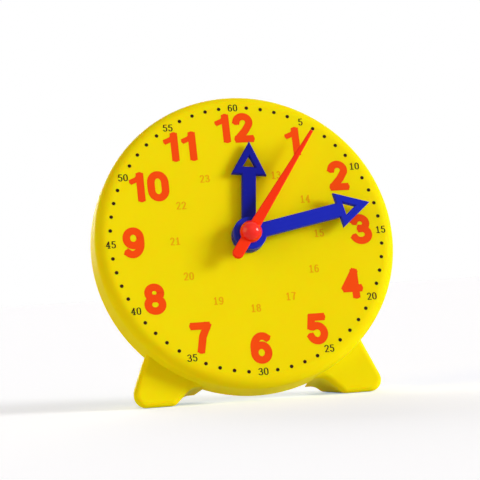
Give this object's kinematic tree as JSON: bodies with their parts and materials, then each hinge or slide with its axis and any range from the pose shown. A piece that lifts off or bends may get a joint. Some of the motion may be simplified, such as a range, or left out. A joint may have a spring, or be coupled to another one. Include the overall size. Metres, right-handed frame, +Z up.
{
  "type": "geared teaching clock",
  "caption": "Geared teaching clock: round dial leaning back on moulded feet, with hour, minute and second hands linked by a gear train behind a clear back cover.",
  "frame": {"origin": "on the surface that the clock stands on, under the middle of its box", "axes": "+X to the right of the dial as it is read, +Z up, -Y towards the reader; the dial leans back 15 degrees"},
  "size_m": [0.1002, 0.0375, 0.1001],
  "materials": {
    "case_yellow": "satin moulded plastic",
    "cover_clear": "clear moulded plastic",
    "hand_blue": "satin moulded plastic",
    "hand_red": "gloss moulded plastic",
    "wheel_white": "satin moulded plastic",
    "wheel_red": "satin moulded plastic",
    "wheel_green": "satin moulded plastic",
    "wheel_blue": "satin moulded plastic",
    "steel": "bright drawn wire"
  },
  "bodies": {
    "case": {"case_shell": "case_yellow", "back_cover": "cover_clear", "cover_screws": "steel", "third_pin": "steel", "intermediate_pin": "steel"},
    "minute": {"minute_pipe": "wheel_white", "centre_wheel": "wheel_red", "minute_hand": "hand_blue"},
    "hour": {"hour_wheel": "wheel_white", "hour_hand": "hand_blue"},
    "intermediate": {"intermediate_wheel": "wheel_green"},
    "third": {"third_wheel": "wheel_blue"},
    "second": {"second_arbor": "steel", "second_pinion": "wheel_white", "second_hand": "hand_red", "centre_cap": "hand_red", "setting_knob": "hand_red"}
  },
  "joints": [
    {"name": "minute_turn", "type": "hinge", "parent": "case", "child": "minute", "pos_m": [0, -0.00678, 0.05291], "axis": [0, 0.9659, -0.2588], "continuous": true},
    {"name": "hour_turn", "type": "hinge", "parent": "case", "child": "hour", "pos_m": [0, -0.00678, 0.05291], "axis": [0, 0.9659, -0.2588], "continuous": true},
    {"name": "intermediate_turn", "type": "hinge", "parent": "case", "child": "intermediate", "pos_m": [-0.01767, -0.00942, 0.04306], "axis": [0, 0.9659, -0.2588], "continuous": true},
    {"name": "third_turn", "type": "hinge", "parent": "case", "child": "third", "pos_m": [0.01767, -0.00414, 0.06277], "axis": [0, 0.9659, -0.2588], "continuous": true},
    {"name": "second_turn", "type": "hinge", "parent": "case", "child": "second", "pos_m": [0, -0.00678, 0.05291], "axis": [0, 0.9659, -0.2588], "continuous": true}
  ],
  "couplings": [
    {"joint": "third_turn", "follows": "second_turn", "ratio": -0.13333},
    {"joint": "minute_turn", "follows": "second_turn", "ratio": 0.016667},
    {"joint": "intermediate_turn", "follows": "second_turn", "ratio": -0.0055556},
    {"joint": "hour_turn", "follows": "second_turn", "ratio": 0.0013889}
  ]
}
